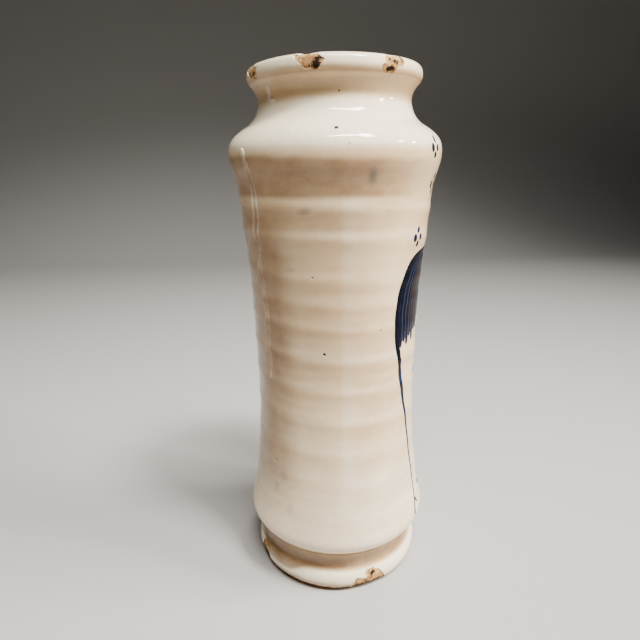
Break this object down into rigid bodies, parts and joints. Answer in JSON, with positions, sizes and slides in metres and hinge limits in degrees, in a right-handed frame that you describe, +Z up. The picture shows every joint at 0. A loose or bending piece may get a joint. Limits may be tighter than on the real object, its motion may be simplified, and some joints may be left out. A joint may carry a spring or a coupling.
{
  "type": "apothecary jar",
  "caption": "Tall waisted earthenware drug jar with a flared shoulder, short neck for a tied cover, grooved foot, white tin glaze and a cobalt-painted front.",
  "frame": {"origin": "centre of the resting face, on the surface that the jar stands on", "axes": "+Z up the jar's own axis, the painted front faces -Y"},
  "size_m": [0.1104, 0.1104, 0.28],
  "materials": {
    "fired_clay": "matt buff earthenware",
    "tin_glaze": "glossy off-white tin glaze",
    "inner_glaze": "glossy cream glaze",
    "glaze_runs": "glossy raised glaze",
    "cobalt": "glossy in-glaze cobalt blue",
    "cobalt_wash": "glossy thin cobalt wash",
    "deep_cobalt": "glossy thick cobalt blue",
    "manganese": "glossy manganese brown"
  },
  "bodies": {
    "root": {"clay_body": "fired_clay", "outer_glaze": "tin_glaze", "inner_glaze": "inner_glaze", "glaze_runs": "glaze_runs", "cobalt_outlines": "cobalt", "cobalt_tails": "cobalt", "cobalt_wash": "cobalt_wash", "cobalt_feathers": "deep_cobalt", "manganese_feathers": "manganese", "cobalt_stem": "cobalt", "cobalt_leaves": "cobalt", "cobalt_flowers": "cobalt"}
  },
  "joints": []
}
